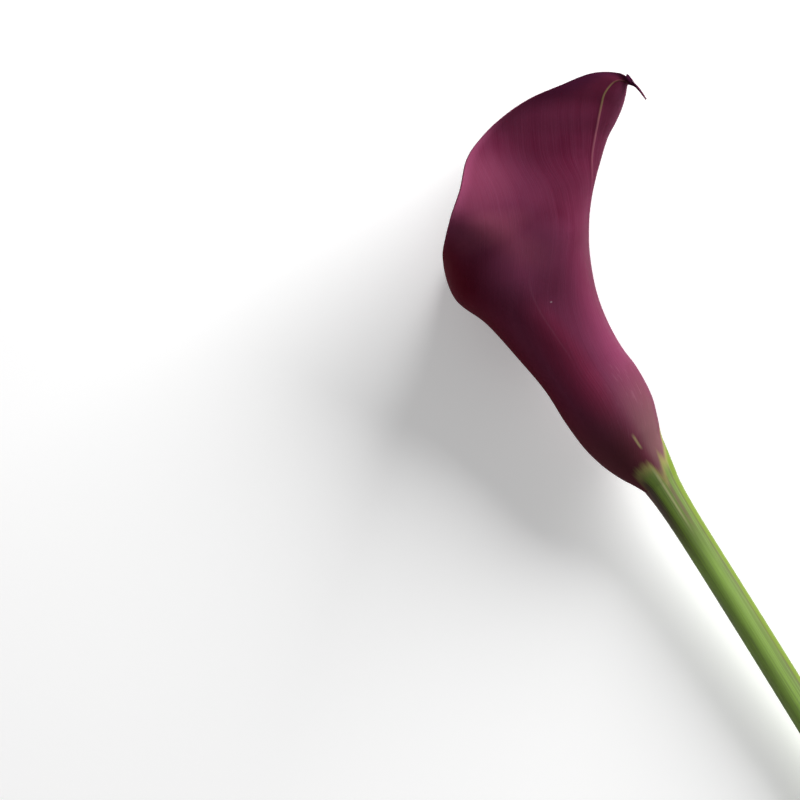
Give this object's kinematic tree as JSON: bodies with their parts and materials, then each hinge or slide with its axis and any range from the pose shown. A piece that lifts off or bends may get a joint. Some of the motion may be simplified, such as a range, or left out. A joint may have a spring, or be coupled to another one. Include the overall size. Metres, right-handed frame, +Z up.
{
  "type": "calla lily flower",
  "caption": "Single cut calla lily lying on its side: dark purple rolled spathe with a hooked tip, a floret-covered spadix in its throat, and a smooth green stem.",
  "frame": {"origin": "centre of the bounding box in X and Y, on the ground plane that the lying flower rests on", "axes": "+X from the mouth of the flower along the stem to its cut end, +Y towards the hooked tip and the back of the spathe, +Z up"},
  "size_m": [0.3602, 0.0812, 0.0591],
  "materials": {
    "spathe": "satin",
    "spadix": "matte",
    "stem": "satin"
  },
  "bodies": {
    "root": {"spathe": "spathe", "spadix": "spadix", "stem": "stem"}
  },
  "joints": []
}
